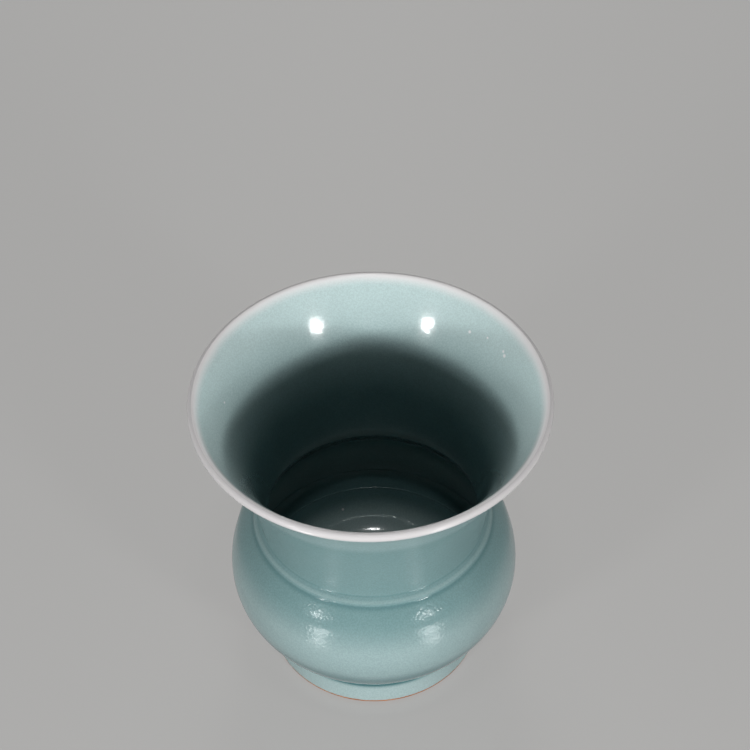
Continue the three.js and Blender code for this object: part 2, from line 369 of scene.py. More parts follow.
def outward(points):
    """The unit normal on the right of an outline, which points out of a solid on its left."""
    along = np.gradient(points, axis=0)
    along /= np.linalg.norm(along, axis=1)[:, None]
    return np.column_stack((along[:, 1], -along[:, 0]))


def picked(points, longest, sharpest):
    """Indices of the points that a surface needs: close together where the outline turns, and the ends.

    The count between two points is the run over the longest step plus the turn over the sharpest step.
    """
    step = np.diff(points, axis=0)
    heading = np.unwrap(np.arctan2(step[:, 1], step[:, 0]))
    turned = np.abs(np.diff(heading, prepend=heading[0]))
    need = np.concatenate(([0.0], np.cumsum(np.linalg.norm(step, axis=1) / longest + turned / sharpest)))
    places = np.linspace(0.0, need[-1], math.ceil(need[-1]) + 1)
    return np.unique(np.round(np.interp(places, need, np.arange(len(points)))).astype(int))


class Section:
    """The jar's outline on one side of its axis, as arcs and straight runs worked out from the sizes.

    A stretch lies at a depth under the finished surface. Depth changes only the radius of each arc, so
    glaze and clay share their centres and angles.
    """

    def __init__(self, sizes):
        self.s = s = sizes
        self.clay_depth = s.glaze + s.clearance
        self._place_neck()
        self._place_belly()
        self._place_throat()
        self._place_floor()
        self._place_seams()
        self.levels = {
            "ground": 0.0,
            "foot": s.foot_height,
            "inner_floor": self.floor_height,
            "belly": s.belly_height,
            "crease": s.shoulder_height,
            "collar": s.shoulder_height + s.collar_height,
            "lip": s.height,
        }

    def _place_neck(self):
        """The neck is an arc that leaves the collar at its lean and ends in the middle of the lip."""
        s = self.s
        self.neck_root = np.array((s.neck_diameter / 2, s.shoulder_height + s.collar_height))
        self.lip_centre = np.array(((s.mouth_diameter - s.neck_wall) / 2, s.height - s.neck_wall / 2))
        way_out = np.array((math.cos(s.neck_lean), -math.sin(s.neck_lean)))
        rise = self.lip_centre - self.neck_root
        self.neck_round = (rise @ rise - s.neck_wall**2 / 4) / (2 * rise @ way_out + s.neck_wall)
        self.neck_centre = self.neck_root + self.neck_round * way_out
        self.neck_root_angle = math.pi - s.neck_lean
        self.lip_angle = angle_between(self.neck_centre, self.lip_centre)

    def _place_belly(self):
        """The shoulder and the lower belly are arcs from the widest ring; a cone runs on to the foot."""
        s = self.s
        rise = s.shoulder_height - s.belly_height
        inset = (s.belly_diameter - s.collar_diameter) / 2
        self.shoulder_round = (rise**2 + inset**2) / (2 * inset)
        self.shoulder_centre = np.array((s.belly_diameter / 2 - self.shoulder_round, s.belly_height))
        self.lower_centre = np.array((s.belly_diameter / 2 - s.lower_belly_round, s.belly_height))
        self.foot_top = np.array((s.foot_top_diameter / 2, s.foot_height))
        reach = np.linalg.norm(self.foot_top - self.lower_centre)
        swing = math.acos(s.lower_belly_round / reach)
        self.cone_angle = angle_between(self.lower_centre, self.foot_top) + swing
        self.seam_angle = math.asin((s.belly_seam_height - s.belly_height) / s.lower_belly_round)

    def _place_throat(self):
        """The throat is a round edge that touches the inside of the neck and the hollow of the belly."""
        s = self.s
        self.neck_inside = self.neck_round + s.neck_wall
        self.hollow_round = self.shoulder_round - s.belly_wall
        self.throat_centre = crossing(
            self.neck_centre,
            self.neck_inside - s.throat_round,
            self.shoulder_centre,
            self.hollow_round + s.throat_round,
        )
        self.throat_top_angle = angle_between(self.neck_centre, self.throat_centre)
        self.throat_low_angle = angle_between(self.throat_centre, self.shoulder_centre) + 2 * math.pi

    def _place_floor(self):
        """The inner floor is flat in the middle and rounds up into the lower belly."""
        s = self.s
        self.floor_height = s.foot_recess + s.base_thickness
        self.lower_hollow = s.lower_belly_round - s.belly_wall
        centre_height = self.floor_height + s.floor_round
        drop = (centre_height - s.belly_height) * math.sin(self.cone_angle)
        reach = (self.lower_hollow - s.floor_round - drop) / math.cos(self.cone_angle)
        self.floor_centre = np.array((self.lower_centre[0] + reach, centre_height))

    def _place_seams(self):
        """Seams lie flat under the neck and on the foot, and square to the wall across the belly."""
        s = self.s
        self.base_underside = s.foot_recess + self.clay_depth
        self.foot_slip_top = self.base_underside - s.clearance
        self.foot_slip_foot = self.foot_slip_top - s.slip
        self.foot_ring_top = self.foot_slip_foot - s.clearance
        self.neck_slip_top = s.shoulder_height - s.clearance
        self.neck_slip_foot = self.neck_slip_top - s.slip
        self.shoulder_top = self.neck_slip_foot - s.clearance
        self.belt_round = self.lower_hollow + self.clay_depth
        self.slip_turn = s.slip / 2 / self.belt_round
        self.seat_turn = self.slip_turn + s.clearance / self.belt_round

    def foot_wall(self, height, depth):
        """A point of the foot's wall, which leans in from the floor to the belly."""
        s = self.s
        lean = (s.foot_diameter - s.foot_top_diameter) / 2 / s.foot_height
        return np.array((s.foot_diameter / 2 - lean * height - depth, height))

    def foot_bore(self, height, depth):
        """A point of the foot ring's inner wall, which keeps the ring's width."""
        return self.foot_wall(height, self.clay_depth + self.s.foot_rim_width + depth)

    def foot_corner(self, depth):
        """Where the foot's wall meets the cone of the lower belly."""
        radius = self.foot_top[0] - depth
        out = (radius - self.lower_centre[0]) * math.cos(self.cone_angle)
        drop = (self.s.lower_belly_round - depth - out) / math.sin(self.cone_angle)
        return np.array((radius, self.lower_centre[1] + drop))

    def outer_lower_belly(self, depth, start, end):
        """An arc of the outside under the widest ring."""
        return arc(self.lower_centre, self.s.lower_belly_round - depth, start, end)

    def inner_lower_belly(self, depth, start, end):
        """An arc of the hollow under the widest ring."""
        return arc(self.lower_centre, self.lower_hollow + depth, start, end)

    def shoulder_angle(self, depth, height):
        """Where the shoulder's arc reaches a height."""
        return math.asin((height - self.shoulder_centre[1]) / (self.shoulder_round - depth))

    def crease_angle(self, depth):
        """Where the shoulder's arc meets the collar."""
        out = self.s.collar_diameter / 2 - depth - self.shoulder_centre[0]
        return math.acos(out / (self.shoulder_round - depth))

    def outer_shoulder(self, depth, top):
        """The shoulder's arc, swollen by half a wave squared over its upper part."""
        s = self.s
        points = arc(self.shoulder_centre, self.shoulder_round - depth, 0.0, top)
        low = s.belly_height + SWELL_START * (s.shoulder_height - s.belly_height)
        share = np.clip((points[:, 1] - low) / (s.shoulder_height - low), 0.0, 1.0)
        points[:, 0] += s.shoulder_swell * np.sin(math.pi * share) ** 2
        return points

    def inner_shoulder(self, depth):
        """The arc of the hollow from the throat to the widest ring."""
        start = self.throat_low_angle - math.pi
        return arc(self.shoulder_centre, self.hollow_round + depth, start, 0.0)

    def collar(self, depth):
        """A quarter of an ellipse from the shoulder up to the foot of the neck."""
        s = self.s
        reach = s.collar_diameter / 2 - self.neck_root[0]
        angle = np.linspace(0.0, math.pi / 2, math.ceil(2 * s.collar_height / FINE_STEP))
        radius = self.neck_root[0] - depth + reach * np.cos(angle)
        return np.column_stack((radius, s.shoulder_height + (s.collar_height - depth) * np.sin(angle)))

    def glazed_collar(self, depth):
        """The band under its glaze: a filled crease, a low upright edge and a ledge that meets the neck."""
        s = self.s
        edge = s.collar_diameter / 2 - depth
        foot = s.shoulder_height
        band_foot = (edge - BAND_FOOT_INSET, foot + CREASE_FILL)
        band_top = (edge - BAND_TOP_INSET, foot + BAND_SHARE * s.collar_height)
        return joined([band_foot, band_top], [self.neck_at(foot + s.collar_height + s.collar_sweep, depth)])

    def neck_at(self, height, depth):
        """The point of the neck's outside at a height."""
        angle = math.asin((height - self.neck_centre[1]) / (self.neck_round + depth))
        return on_circle(self.neck_centre, self.neck_round + depth, math.pi - angle)

    def glazed_neck(self, depth):
        """The neck from where the slope of the band runs into it."""
        start = self.neck_at(self.neck_root[1] + self.s.collar_sweep, depth)
        start_angle = angle_between(self.neck_centre, start)
        return arc(self.neck_centre, self.neck_round + depth, start_angle, self.lip_angle)

    def outer_neck(self, depth):
        """The neck's outside from the collar to the lip."""
        return arc(self.neck_centre, self.neck_round + depth, self.neck_root_angle, self.lip_angle)

    def inner_neck(self, depth):
        """The neck's inside from the lip to the throat."""
        return arc(self.neck_centre, self.neck_inside - depth, self.lip_angle, self.throat_top_angle)

    def throat_angle(self, depth, height):
        """Where the throat's round edge reaches a height."""
        return math.pi + math.asin((self.throat_centre[1] - height) / (self.s.throat_round - depth))

    def throat(self, depth, start, end):
        """An arc of the round edge between neck and hollow."""
        return arc(self.throat_centre, self.s.throat_round - depth, start, end)

    def lip(self, depth):
        """Half a circle over the lip, from its outside to its inside."""
        return arc(self.lip_centre, self.s.neck_wall / 2 - depth, self.lip_angle - math.pi, self.lip_angle)

    def inner_floor(self, depth):
        """The arc from the lower belly down to the flat floor, and on to the axis."""
        rounding = arc(self.floor_centre, self.s.floor_round + depth, self.cone_angle, -math.pi / 2)
        return joined(rounding, [(0.0, self.floor_height - depth)])

    def skin(self, depth):
        """The glazed run at a depth: up foot and belly, over the lip and down to the inner floor."""
        s = self.s
        outside = joined(
            [self.foot_wall(s.bare_band, depth), self.foot_corner(depth)],
            self.outer_lower_belly(depth, self.cone_angle, 0.0),
            self.outer_shoulder(depth, self.crease_angle(depth)),
            self.glazed_collar(depth),
            self.glazed_neck(depth),
        )
        inside = joined(
            self.inner_neck(depth),
            self.throat(depth, self.throat_top_angle, self.throat_low_angle),
            self.inner_shoulder(depth),
            self.inner_lower_belly(depth, 0.0, self.cone_angle),
            self.inner_floor(depth),
        )
        return even(joined(outside, self.lip(depth), inside))

    def glaze_share(self, rows, height):
        """Share of glaze at each height, on straight lines between rows of level, rise and share."""
        places = [self.levels[level] + rise * MM for level, rise, _ in rows]
        return np.interp(height, places, [share for _, _, share in rows])

    def dry_glaze_and_painted_light_share(self, height):
        """Share of glaze that has run off the ledge of the collar, by height: a bell shape. It also paints
        the fillet above the collar paler, as painted light against its shade.
        """
        return DRY_SHARE * bell(height - self.levels["collar"] - DRY_RISE, DRY_SPREAD)

    def ridges(self, height):
        """Rise of the ridges that throwing and luting left on the inner wall: a bell shape for each."""
        s = self.s
        middles = [s.belly_seam_height + rise * MM for rise in RIDGES_ABOVE_SEAM]
        return s.ridge_height * sum(bell(height - middle, s.ridge_width) for middle in middles)


class Coat:
    """The glazed run with its two faces, and what the finish needs to know along it.

    pooling is how far the surface lies under (1) or over (-1) its own average, with the shares of thick
    glaze and painted shade added and the share of dry glaze taken off, which paints the collar's fillet
    paler. lip_run is the distance from the highest ring of the lip, and thinness is the share of thin glaze
    and of painted light.
    """

    def __init__(self, section):
        s = section.s
        face = softened(section.skin(0.0), s.glaze_flow)
        average = softened(face, s.pooling_reach)
        away = np.einsum("ij,ij->i", average - face, outward(face))
        height = face[:, 1]
        crest = int(np.argmax(height))
        inside = np.arange(len(face)) > crest
        run = run_along(face)
        painted_light_inside = section.glaze_share(PAINTED_LIGHT_INSIDE, height)
        thin_glaze_and_painted_light_outside = section.glaze_share(THIN_GLAZE_AND_PAINTED_LIGHT_OUTSIDE, height)
        # These shares carry painted light: painted shade at the foot, lower belly, crease and under the
        # lip, a paler fillet above the collar, and painted reflection and light outside and a painted patch
        # of light on the inner floor
        deep_glaze_and_painted_shade_outside = section.glaze_share(DEEP_GLAZE_AND_PAINTED_SHADE_OUTSIDE, height) - section.dry_glaze_and_painted_light_share(height)
        deep_and_painted_shade = np.where(inside, 0.0, deep_glaze_and_painted_shade_outside)
        thin = np.where(inside, painted_light_inside, thin_glaze_and_painted_light_outside)
        deep_and_painted_shade, thin = softened(np.column_stack((deep_and_painted_shade, thin)), s.pooling_reach).T
        self.values = {
            "pooling_and_painted_shade": np.clip(away / s.pooling_depth + deep_and_painted_shade, -1.0, 1.0),
            "lip_run": np.abs(run - run[crest]),
            "thinness_and_painted_light": thin,
        }
        rise = np.where(inside, section.ridges(height), 0.0)
        self.face = face + rise[:, None] * outward(face)
        self.crest = crest
        self.back = softened(section.skin(s.glaze), s.glaze_flow)
        self.back_crest = int(np.argmax(self.back[:, 1]))

    def half(self, outside):
        """Picked face points, picked back points, and the face's values, of one side of the lip."""
        face_part = slice(0, self.crest + 1) if outside else slice(self.crest, None)
        back_part = slice(0, self.back_crest + 1) if outside else slice(self.back_crest, None)
        face = self.face[face_part]
        back = self.back[back_part]
        keep = picked(face, LONGEST_STEP, TURN_STEP)
        keep_back = picked(back, HIDDEN_STEP, HIDDEN_TURN)
        values = {label: run[face_part][keep] for label, run in self.values.items()}
        return face[keep], back[keep_back], values


def glaze_bead(centre, thickness):
    """The round lower edge of a coat: points of the lower half of a circle, without its two ends."""
    bead = arc(centre, thickness / 2, math.pi, 2 * math.pi)[1:-1]
    return bead[picked(bead, LONGEST_STEP, TURN_STEP)]


# Turned pieces


def starts_on_axis(outline):
    """Whether an outline begins on the upright axis, where it closes in a pole."""
    return outline[0, 0] < TOUCHING


def turned_grid(outline):
    """Vertices and faces of an outline turned about the upright axis.

    The point at radius r and height z goes to (r cos a, r sin a, z) at AROUND even angles a. A closed
    outline is given anticlockwise. One that starts and ends on the axis closes there in two poles.
    """
    angle = np.arange(AROUND) * (2 * math.pi / AROUND)
    has_poles = starts_on_axis(outline)
    rings = outline[1:-1] if has_poles else outline
    radius = rings[:, :1]
    height = np.broadcast_to(rings[:, 1:], (len(rings), AROUND))
    grid = np.stack((radius * np.cos(angle), radius * np.sin(angle), height), axis=-1).reshape(-1, 3)
    index = np.arange(len(rings) * AROUND).reshape(len(rings), AROUND)
    beside = np.roll(index, -1, axis=1)
    above = np.roll(index, -1, axis=0)
    above_beside = np.roll(beside, -1, axis=0)
    quads = np.stack((index, beside, above_beside, above), axis=-1)
    if not has_poles:
        return grid, quads.reshape(-1, 4), np.empty((0, 3), int)
    first, last = len(grid), len(grid) + 1
    poles = np.column_stack((np.zeros((2, 2)), outline[[0, -1], 1]))
    start_fan = np.stack((np.full(AROUND, first), beside[0], index[0]), axis=-1)
    end_fan = np.stack((index[-1], beside[-1], np.full(AROUND, last)), axis=-1)
    return np.vstack((grid, poles)), quads[:-1].reshape(-1, 4), np.vstack((start_fan, end_fan))


def around_values(values, has_poles):
    """A value of each outline point, repeated around the axis in the order of the vertices."""
    if not has_poles:
        return np.repeat(values, AROUND)
    return np.concatenate((np.repeat(values[1:-1], AROUND), values[[0, -1]]))


def turned_piece(name, outline, material, values=None):
    """A named mesh object of a turned outline, smooth but for its sharp edges, with its point values."""
    points, quads, triangles = turned_grid(outline)
    mesh = bpy.data.meshes.new(name)
    mesh.vertices.add(len(points))
    mesh.vertices.foreach_set("co", points.ravel())
    corners = np.concatenate((quads.ravel(), triangles.ravel()))
    sides = np.concatenate((np.full(len(quads), 4), np.full(len(triangles), 3)))
    mesh.loops.add(len(corners))
    mesh.loops.foreach_set("vertex_index", corners)
    mesh.polygons.add(len(sides))
    mesh.polygons.foreach_set("loop_start", np.cumsum(sides) - sides)
    mesh.update(calc_edges=True)
    mesh.validate()
    mesh.shade_smooth()
    mesh.set_sharp_from_angle(angle=SHARP_EDGE)
    for label, run in (values or {}).items():
        attribute = mesh.attributes.new(label, "FLOAT", "POINT")
        spread = around_values(run, starts_on_axis(outline))
        attribute.data.foreach_set("value", spread.astype(np.float32))
    mesh.materials.append(material)
    piece = bpy.data.objects.new(name, mesh)
    bpy.context.scene.collection.objects.link(piece)
    return piece


def stand_for(piece, node):
    """The piece rides on the jar and hides the solid that it stands for."""
    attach(piece, BODY)
    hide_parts(node)


def thinned(points):
    """The picked points of a hidden outline, each corner kept."""
    fine = even(points)
    return fine[picked(fine, HIDDEN_STEP, HIDDEN_TURN)]


# Materials


def place(tree, kind, inputs=None, **settings):
    """A node of a kind with its settings, whose inputs are values or the sockets that feed them."""
    node = tree.nodes.new(kind)
    for label, value in settings.items():
        setattr(node, label, value)
    for label, value in (inputs or {}).items():
        if isinstance(value, bpy.types.NodeSocket):
            tree.links.new(value, node.inputs[label])
        else:
            node.inputs[label].default_value = value
    return node


def mixed(tree, factor, first, second):
    """The colour between two colours, each a value or a socket.

    A Mix node takes its factor at 0 and its colours at 6 and 7, and gives its colour at 2.
    """
    return place(tree, "ShaderNodeMix", {0: factor, 6: first, 7: second}, data_type="RGBA").outputs[2]


def eased(tree, value, low, high, at_low, at_high):
    """A smooth step of a value: at_low up to low, at_high from high on."""
    inputs = {"Value": value, "From Min": low, "From Max": high, "To Min": at_low, "To Max": at_high}
    return place(tree, "ShaderNodeMapRange", inputs, interpolation_type="SMOOTHSTEP").outputs["Result"]


def worked(tree, operation, first, second):
    """A sum, product or the like of two numbers, each a value or a socket."""
    return place(tree, "ShaderNodeMath", {0: first, 1: second}, operation=operation).outputs[0]


def noise(tree, scale, detail, roughness=0.5):
    """Noise from 0 to 1 on the piece's own coordinates, with so many cells to the metre."""
    where = place(tree, "ShaderNodeTexCoord").outputs["Object"]
    inputs = {"Vector": where, "Scale": scale, "Detail": detail, "Roughness": roughness}
    return place(tree, "ShaderNodeTexNoise", inputs).outputs["Fac"]


def new_group(name, inputs, outputs):
    """An empty shader node group with its sockets: (label, kind, default) in and (label, kind) out."""
    group = bpy.data.node_groups.new(name, "ShaderNodeTree")
    for label, kind, default in inputs:
        group.interface.new_socket(label, in_out="INPUT", socket_type=kind).default_value = default
    for label, kind in outputs:
        group.interface.new_socket(label, in_out="OUTPUT", socket_type=kind)
    return group, place(group, "NodeGroupInput").outputs, place(group, "NodeGroupOutput")


def opaque(rgb):
    """A colour property as a shader colour."""
    return (rgb[0], rgb[1], rgb[2], 1.0)


BLACK = (0.0, 0.0, 0.0, 1.0)
WHITE = (1.0, 1.0, 1.0, 1.0)

# Noise in the finishes, in cells to the metre
GLAZE_CLOUDS = 75
GLAZE_GRAIN = 1100
GLAZE_SPECKLE = 1900
GLAZE_PITS = 1100.0
CLAY_CLOUDS = 140
CLAY_SAND = 2200
FLOOR_CLOUDS = 3

# How much clouds and grain shift the thin glaze, and how far clouds push the lip's bands about
CLOUD_SHIFT = 0.10
GRAIN_SHIFT = 0.044
LIP_WAVER = 1.0 * MM

# The finer pits of the glaze's skin: how many to one of the coarse ones, and their share of the relief
FINER_PITS = 1.9
FINE_SHARE = 0.35

# Gloss: the glaze's refraction, the veil's roughness, how much smoother pooled glaze is, how much duller
# a dry edge is, and the roughness of the bare clay and of the floor
GLAZE_IOR = 1.5
VEIL_ROUGHNESS = 0.25
POOLED_ROUGHNESS_SHARE = 0.6
DRY_EDGE_DULL = 1.2
CLAY_ROUGHNESS = 0.85
FLOOR_ROUGHNESS = 0.22

# Pale flecks in the glaze inside: x, y, z and radius in millimetres
FLECKS = (
    (34.6, 38.0, 109.7, 0.7),
    (45.6, 25.0, 110.8, 0.8),
    (45.3, 26.4, 111.5, 0.6),
    (40.4, 33.3, 111.3, 0.5),
    (-48.7, 9.9, 106.9, 0.5),
    (-11.2, 36.2, 19.2, 0.6),
)


def glaze_depth_and_painted_light_group():
    """Colour of a coat and how far it has pooled: white at the thin lip, pale up the flare and dark in
    creases, with the painted light and painted shade that its attributes carry.

    Cloudy noise shifts the thickness a little, so that no edge of these zones is a drawn line.
    """
    group, given, out = new_group(
        "Glaze depth and painted light",
        (
            ("Celadon", "NodeSocketColor", WHITE),
            ("Thin", "NodeSocketColor", WHITE),
            ("Lip", "NodeSocketColor", WHITE),
            ("Pooled_and_shaded", "NodeSocketColor", WHITE),
            ("Lip start", "NodeSocketFloat", 2 * MM),
            ("Lip end", "NodeSocketFloat", 4 * MM),
            ("Thin reach", "NodeSocketFloat", 30 * MM),
            ("Pooling share", "NodeSocketFloat", 1.0),
        ),
        (
            ("Colour", "NodeSocketColor"),
            ("Pool_and_painted_shade", "NodeSocketFloat"),
            ("Bare", "NodeSocketFloat"),
            ("Edge", "NodeSocketFloat"),
        ),
    )
    run = place(group, "ShaderNodeAttribute", attribute_name="lip_run").outputs["Fac"]
    pooling_and_painted_shade = place(group, "ShaderNodeAttribute", attribute_name="pooling_and_painted_shade").outputs["Fac"]
    thinness_and_painted_light = place(group, "ShaderNodeAttribute", attribute_name="thinness_and_painted_light").outputs["Fac"]
    cloud = worked(group, "SUBTRACT", noise(group, GLAZE_CLOUDS, 3), 0.5)
    grain = worked(group, "SUBTRACT", noise(group, GLAZE_GRAIN, 2), 0.5)
    wavy_run = worked(group, "ADD", run, worked(group, "MULTIPLY", cloud, LIP_WAVER))
    # thin is thin glaze and painted light: inside, its long reach paints the flare pale and the neck dark
    # as painted shade, and the attribute adds painted reflection and light
    thin = worked(group, "MAXIMUM", eased(group, wavy_run, 0.0, given["Thin reach"], 1.0, 0.0), thinness_and_painted_light)
    thin = worked(group, "ADD", thin, worked(group, "MULTIPLY", cloud, CLOUD_SHIFT))
    thin = worked(group, "ADD", thin, worked(group, "MULTIPLY", grain, GRAIN_SHIFT))
    bare = eased(group, wavy_run, given["Lip start"], given["Lip end"], 1.0, 0.0)
    edge = eased(group, pooling_and_painted_shade, -0.75, -0.15, 0.3, 0.0)
    # This mix towards the pooled colour is pooled glaze and painted shade
    pool_and_painted_shade = eased(group, pooling_and_painted_shade, 0.06, 1.0, 0.0, 1.0)
    pool_and_painted_shade = worked(group, "MULTIPLY", pool_and_painted_shade, given["Pooling share"])
    tone = mixed(group, thin, given["Celadon"], given["Thin"])
    tone = mixed(group, edge, tone, given["Thin"])
    tone = mixed(group, pool_and_painted_shade, tone, given["Pooled_and_shaded"])
    fine = eased(group, noise(group, GLAZE_SPECKLE, 1), 0.3, 0.7, 0.93, 1.06)
    speckled = place(group, "ShaderNodeHueSaturation", {"Color": tone, "Value": fine}).outputs["Color"]
    tone = mixed(group, bare, speckled, given["Lip"])
    glazed_edge = worked(group, "MULTIPLY", edge, worked(group, "SUBTRACT", 1.0, bare))
    for label, value in (("Colour", tone), ("Pool_and_painted_shade", pool_and_painted_shade), ("Bare", bare), ("Edge", glazed_edge)):
        group.links.new(value, out.inputs[label])
    return group


def orange_peel_group():
    """The fine pitted skin of a satin glaze: small pits of two sizes, as a height from 0 to 1."""
    group, given, out = new_group(
        "Orange peel",
        (
            ("Pits to the metre", "NodeSocketFloat", GLAZE_PITS),
            ("Fine share", "NodeSocketFloat", FINE_SHARE),
        ),
        (("Height", "NodeSocketFloat"),),
    )
    pits = noise(group, given["Pits to the metre"], 0.0)
    fine = noise(group, worked(group, "MULTIPLY", given["Pits to the metre"], FINER_PITS), 0.0)
    height = worked(group, "ADD", pits, worked(group, "MULTIPLY", fine, given["Fine share"]))
    group.links.new(height, out.inputs["Height"])
    return group


def flecks_group():
    """Where the glaze has tiny pale flecks: a soft ball around each of their places."""
    group, _, out = new_group("Flecks", (), (("Mask", "NodeSocketFloat"),))
    where = place(group, "ShaderNodeTexCoord").outputs["Object"]
    mask = 0.0
    for *centre, radius in FLECKS:
        middle = [part * MM for part in centre]
        apart = place(group, "ShaderNodeVectorMath", {0: where, 1: middle}, operation="DISTANCE")
        fleck = eased(group, apart.outputs["Value"], 0.5 * radius * MM, radius * MM, 0.8, 0.0)
        mask = worked(group, "MAXIMUM", fleck, mask)
    group.links.new(mask, out.inputs["Mask"])
    return group


def fired_clay_group():
    """Colour and height of fired clay: cloudy tone, dark specks and a sandy grain."""
    group, given, out = new_group(
        "Fired clay",
        (
            ("Clay", "NodeSocketColor", WHITE),
            ("Specks", "NodeSocketColor", WHITE),
            ("Specks to the metre", "NodeSocketFloat", 1400.0),
        ),
        (("Colour", "NodeSocketColor"), ("Height", "NodeSocketFloat")),
    )
    cloud = eased(group, noise(group, CLAY_CLOUDS, 3), 0.3, 0.75, 0.0, 0.45)
    speck = eased(group, noise(group, given["Specks to the metre"], 2), 0.60, 0.70, 0.0, 0.8)
    tone = mixed(group, cloud, given["Clay"], given["Specks"])
    tone = mixed(group, speck, tone, given["Specks"])
    group.links.new(tone, out.inputs["Colour"])
    group.links.new(noise(group, CLAY_SAND, 3, 0.6), out.inputs["Height"])
    return group


def shared(name, make):
    """A node group by its name, made the first time that it is asked for."""
    return bpy.data.node_groups.get(name) or make()


def new_material(name, preview):
    """A node material with its tree and its shader."""
    material = bpy.data.materials.new(name)
    material.use_nodes = True
    material.diffuse_color = opaque(preview)
    return material, material.node_tree, material.node_tree.nodes["Principled BSDF"]


def glaze_material(
    name,
    finish,
    thick,
    thin,
    lip,
    lip_band,
    thin_reach,
    pooling_share,
    roughness,
    relief,
    gloss,
    low_band,
    low_relief=1.0,
    low_dull=0.0,
    veil=0.0,
):
    """Satin celadon glaze: pitted and softly glossy, smoother where it has pooled and duller on edges.

    Below a band of heights the skin has another share of its relief and is duller. A veil is a second,
    softer gloss.
    """
    material, tree, shader = new_material(name, finish.celadon)
    depth = place(
        tree,
        "ShaderNodeGroup",
        {
            "Celadon": opaque(thick),
            "Thin": opaque(thin),
            "Lip": opaque(lip),
            "Pooled_and_shaded": opaque(finish.pooled_and_shaded_celadon),
            "Lip start": lip_band[0],
            "Lip end": lip_band[1],
            "Thin reach": thin_reach,
            "Pooling share": pooling_share,
        },
        node_tree=shared("Glaze depth and painted light", glaze_depth_and_painted_light_group),
    )
    peel = place(tree, "ShaderNodeGroup", node_tree=shared("Orange peel", orange_peel_group))
    where = place(tree, "ShaderNodeTexCoord").outputs["Object"]
    height = place(tree, "ShaderNodeSeparateXYZ", {"Vector": where}).outputs["Z"]
    calm = eased(tree, height, *low_band, low_relief, 1.0)
    covered = worked(tree, "SUBTRACT", 1.0, depth.outputs["Bare"])
    flooded = eased(tree, depth.outputs["Pool_and_painted_shade"], 0.0, 0.7, 1.0, 0.1)
    pitted = worked(tree, "MULTIPLY", flooded, worked(tree, "MULTIPLY", calm, covered))
    skin = worked(tree, "MULTIPLY", peel.outputs["Height"], pitted)
    bump = place(tree, "ShaderNodeBump", {"Height": skin, "Distance": relief, "Strength": 1.0})
    dull = eased(tree, depth.outputs["Pool_and_painted_shade"], 0.0, 1.0, roughness, roughness * POOLED_ROUGHNESS_SHARE)
    dull = worked(tree, "ADD", dull, worked(tree, "MULTIPLY", depth.outputs["Edge"], DRY_EDGE_DULL))
    dull = worked(tree, "ADD", dull, eased(tree, height, *low_band, low_dull, 0.0))
    flecks = place(tree, "ShaderNodeGroup", node_tree=shared("Flecks", flecks_group)).outputs["Mask"]
    tone = mixed(tree, flecks, depth.outputs["Colour"], opaque(finish.lip_white))
    tree.links.new(tone, shader.inputs["Base Color"])
    tree.links.new(dull, shader.inputs["Roughness"])
    tree.links.new(bump.outputs["Normal"], shader.inputs["Normal"])
    shader.inputs["IOR"].default_value = GLAZE_IOR
    shader.inputs["Specular IOR Level"].default_value = gloss
    shader.inputs["Coat Weight"].default_value = veil
    shader.inputs["Coat Roughness"].default_value = VEIL_ROUGHNESS
    return material


def clay_material(name, tone, specks, grain, relief):
    """Matt fired clay with specks and a sandy grain."""
    material, tree, shader = new_material(name, tone)
    clay = place(
        tree,
        "ShaderNodeGroup",
        {"Clay": opaque(tone), "Specks": opaque(specks), "Specks to the metre": grain},
        node_tree=shared("Fired clay", fired_clay_group),
    )
    inputs = {"Height": clay.outputs["Height"], "Distance": relief, "Strength": 1.0}
    bump = place(tree, "ShaderNodeBump", inputs)
    tree.links.new(clay.outputs["Colour"], shader.inputs["Base Color"])
    tree.links.new(bump.outputs["Normal"], shader.inputs["Normal"])
    shader.inputs["Roughness"].default_value = CLAY_ROUGHNESS
    return material


def looked_at(tree):
    """1 where the studio is seen, straight, in gloss or through glass, and 0 where it gives light."""
    rays = place(tree, "ShaderNodeLightPath").outputs
    seen = worked(tree, "ADD", rays["Is Camera Ray"], rays["Is Glossy Ray"])
    return worked(tree, "ADD", seen, rays["Is Transmission Ray"])


def floor_material(stage):
    """A pale, satin floor that glows a little where the camera sees it, in the jar's reflections too."""
    material, tree, shader = new_material("studio_floor", stage.floor)
    shade = eased(tree, noise(tree, FLOOR_CLOUDS, 2), 0.2, 0.8, 0.0, 0.06)
    tone = mixed(tree, shade, opaque(stage.floor), opaque([0.9 * part for part in stage.floor]))
    tree.links.new(tone, shader.inputs["Base Color"])
    glow = mixed(tree, looked_at(tree), BLACK, opaque(stage.floor_glow))
    tree.links.new(glow, shader.inputs["Emission Color"])
    shader.inputs["Emission Strength"].default_value = 1.0
    shader.inputs["Roughness"].default_value = FLOOR_ROUGHNESS
    return material


# Operators


